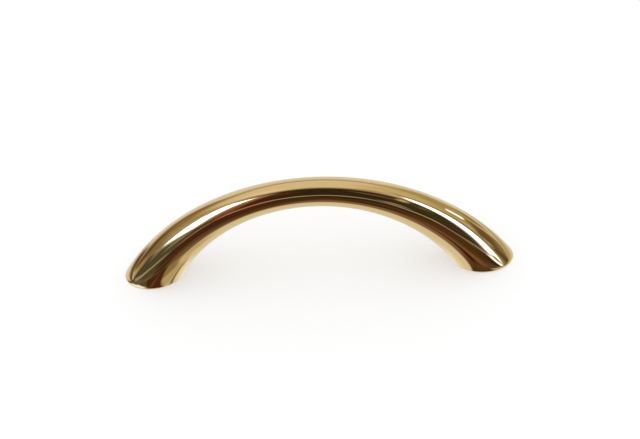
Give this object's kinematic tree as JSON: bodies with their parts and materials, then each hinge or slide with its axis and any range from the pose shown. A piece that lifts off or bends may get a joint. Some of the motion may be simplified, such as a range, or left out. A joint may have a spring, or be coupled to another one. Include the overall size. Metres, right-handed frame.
{
  "type": "bow handle",
  "caption": "Bow handle for a drawer or cupboard door: a polished oval bar that arches up and flares into flat round feet, each tapped for a screw from behind.",
  "frame": {"origin": "midway between the two fixing holes, on the plane of the flat foot faces, which is the face of the door or drawer", "axes": "+X along the handle from foot to foot, +Y across it, +Z out from the door to the top of the bow"},
  "size_m": [0.1134, 0.0162, 0.0295],
  "materials": {
    "polished_brass": "mirror polished and lacquered, with a few fine polishing scratches; flat foot faces left satin"
  },
  "bodies": {
    "root": {"handle": "polished_brass"}
  },
  "joints": []
}
